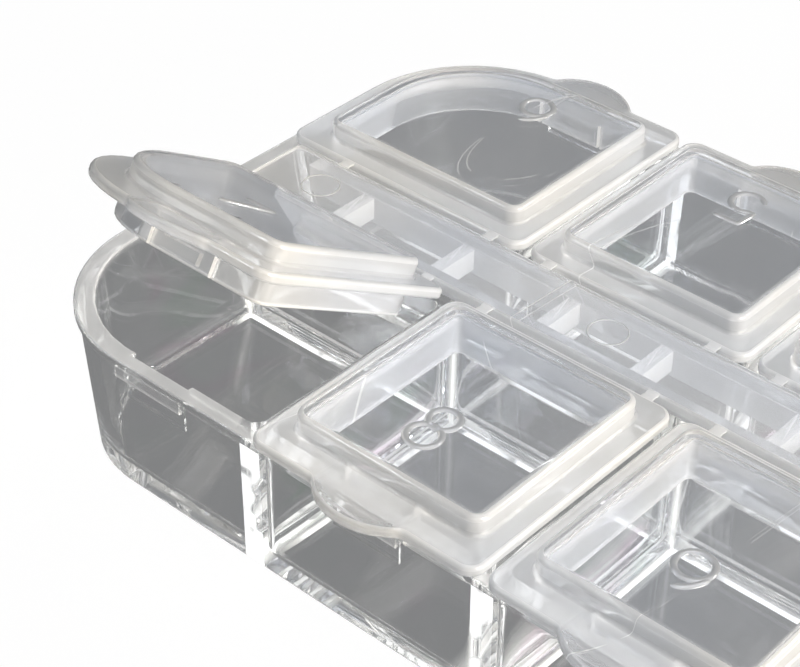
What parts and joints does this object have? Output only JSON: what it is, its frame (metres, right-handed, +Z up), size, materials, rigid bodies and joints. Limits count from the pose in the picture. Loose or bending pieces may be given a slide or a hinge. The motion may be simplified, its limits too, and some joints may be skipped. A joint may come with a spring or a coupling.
{
  "type": "bead organizer",
  "caption": "Long clear tray with rounded ends and rows of small compartments, each closed by its own film-hinged, numbered snap lid with a thumb tab on a shared central spine.",
  "frame": {"origin": "on the underside, under the middle of the tray", "axes": "+X along the rows of compartments, +Y from the row with lids seven to twelve to the row with lids one to six, +Z up"},
  "size_m": [0.1302, 0.0548, 0.0246],
  "materials": {
    "tray_clear": "polished, water clear",
    "lid_milky": "satin, milky translucent",
    "spine_milky": "satin, milky translucent",
    "film_milky": "satin, whitened by bending"
  },
  "bodies": {
    "tray": {"tray": "tray_clear", "spine": "spine_milky", "hinge_film_01": "film_milky", "hinge_film_02": "film_milky", "hinge_film_03": "film_milky", "hinge_film_04": "film_milky", "hinge_film_05": "film_milky", "hinge_film_06": "film_milky", "hinge_film_07": "film_milky", "hinge_film_08": "film_milky", "hinge_film_09": "film_milky", "hinge_film_10": "film_milky", "hinge_film_11": "film_milky", "hinge_film_12": "film_milky"},
    "lid_01": {"lid_01": "lid_milky"},
    "lid_02": {"lid_02": "lid_milky"},
    "lid_03": {"lid_03": "lid_milky"},
    "lid_04": {"lid_04": "lid_milky"},
    "lid_05": {"lid_05": "lid_milky"},
    "lid_06": {"lid_06": "lid_milky"},
    "lid_07": {"lid_07": "lid_milky"},
    "lid_08": {"lid_08": "lid_milky"},
    "lid_09": {"lid_09": "lid_milky"},
    "lid_10": {"lid_10": "lid_milky"},
    "lid_11": {"lid_11": "lid_milky"},
    "lid_12": {"lid_12": "lid_milky"}
  },
  "joints": [
    {"name": "lid_01_hinge", "type": "hinge", "parent": "tray", "child": "lid_01", "pos_m": [0.05075, 0.0037, 0.0122], "axis": [1, 0, 0], "range_deg": [0, 95], "deforming": ["hinge_film_01"]},
    {"name": "lid_02_hinge", "type": "hinge", "parent": "tray", "child": "lid_02", "pos_m": [0.03045, 0.0037, 0.0122], "axis": [1, 0, 0], "range_deg": [0, 95], "deforming": ["hinge_film_02"]},
    {"name": "lid_03_hinge", "type": "hinge", "parent": "tray", "child": "lid_03", "pos_m": [0.01015, 0.0037, 0.0122], "axis": [1, 0, 0], "range_deg": [0, 95], "deforming": ["hinge_film_03"]},
    {"name": "lid_04_hinge", "type": "hinge", "parent": "tray", "child": "lid_04", "pos_m": [-0.01015, 0.0037, 0.0122], "axis": [1, 0, 0], "range_deg": [0, 95], "deforming": ["hinge_film_04"]},
    {"name": "lid_05_hinge", "type": "hinge", "parent": "tray", "child": "lid_05", "pos_m": [-0.03045, 0.0037, 0.0122], "axis": [1, 0, 0], "range_deg": [0, 95], "deforming": ["hinge_film_05"]},
    {"name": "lid_06_hinge", "type": "hinge", "parent": "tray", "child": "lid_06", "pos_m": [-0.05075, 0.0037, 0.0122], "axis": [1, 0, 0], "range_deg": [0, 95], "deforming": ["hinge_film_06"]},
    {"name": "lid_07_hinge", "type": "hinge", "parent": "tray", "child": "lid_07", "pos_m": [-0.05075, -0.0037, 0.0122], "axis": [-1, 0, 0], "range_deg": [-31, 64], "deforming": ["hinge_film_07"]},
    {"name": "lid_08_hinge", "type": "hinge", "parent": "tray", "child": "lid_08", "pos_m": [-0.03045, -0.0037, 0.0122], "axis": [-1, 0, 0], "range_deg": [0, 95], "deforming": ["hinge_film_08"]},
    {"name": "lid_09_hinge", "type": "hinge", "parent": "tray", "child": "lid_09", "pos_m": [-0.01015, -0.0037, 0.0122], "axis": [-1, 0, 0], "range_deg": [0, 95], "deforming": ["hinge_film_09"]},
    {"name": "lid_10_hinge", "type": "hinge", "parent": "tray", "child": "lid_10", "pos_m": [0.01015, -0.0037, 0.0122], "axis": [-1, 0, 0], "range_deg": [0, 95], "deforming": ["hinge_film_10"]},
    {"name": "lid_11_hinge", "type": "hinge", "parent": "tray", "child": "lid_11", "pos_m": [0.03045, -0.0037, 0.0122], "axis": [-1, 0, 0], "range_deg": [0, 95], "deforming": ["hinge_film_11"]},
    {"name": "lid_12_hinge", "type": "hinge", "parent": "tray", "child": "lid_12", "pos_m": [0.05075, -0.0037, 0.0122], "axis": [-1, 0, 0], "range_deg": [0, 95], "deforming": ["hinge_film_12"]}
  ]
}
